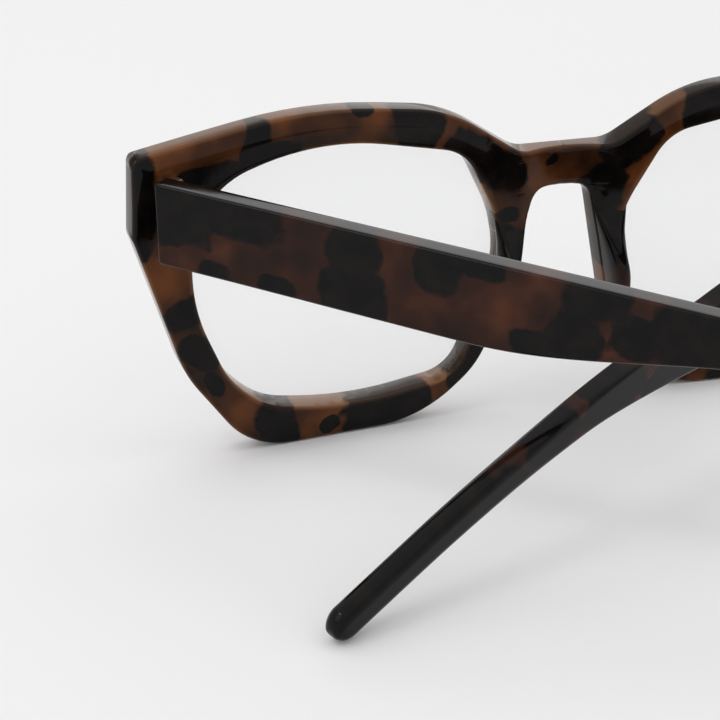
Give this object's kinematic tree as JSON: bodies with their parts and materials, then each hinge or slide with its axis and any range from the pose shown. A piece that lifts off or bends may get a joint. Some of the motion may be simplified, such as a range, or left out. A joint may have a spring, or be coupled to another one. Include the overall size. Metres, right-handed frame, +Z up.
{
  "type": "eyeglasses",
  "caption": "Glossy acetate eyeglasses with clear lenses, rounded rectangular rims, moulded nose pads and temples that fold on barrel hinges, resting half folded.",
  "frame": {"origin": "centre of the bottom of the bounding box, on the surface that the glasses rest on", "axes": "+X towards the wearer's right along the width of the front, +Y forwards, the way the lenses face, +Z up"},
  "size_m": [0.143, 0.1128, 0.0549],
  "materials": {
    "front_acetate": "polished tortoise acetate",
    "temple_acetate": "polished tortoise acetate",
    "nose_pad": "polished tortoise acetate",
    "lens": "clear, polished, coated",
    "hinge_steel": "satin",
    "core_steel": "plain drawn wire"
  },
  "bodies": {
    "front": {"front_frame": "front_acetate", "nose_pad_left": "nose_pad", "nose_pad_right": "nose_pad", "lens_left": "lens", "lens_right": "lens", "hinge_front_left": "hinge_steel", "hinge_front_right": "hinge_steel", "hinge_screw_left": "hinge_steel", "hinge_screw_right": "hinge_steel"},
    "left_arm": {"temple_left": "temple_acetate", "core_wire_left": "core_steel", "hinge_temple_left": "hinge_steel"},
    "right_arm": {"temple_right": "temple_acetate", "core_wire_right": "core_steel", "hinge_temple_right": "hinge_steel"}
  },
  "joints": [
    {"name": "left_hinge", "type": "hinge", "parent": "front", "child": "left_arm", "pos_m": [-0.0651, 0.04237, 0.04343], "axis": [-0.1219, -0.0886, 0.9886], "range_deg": [-48, 15]},
    {"name": "right_hinge", "type": "hinge", "parent": "front", "child": "right_arm", "pos_m": [0.0651, 0.04237, 0.04343], "axis": [0.1219, 0.0886, -0.9886], "range_deg": [-67, 21]}
  ]
}
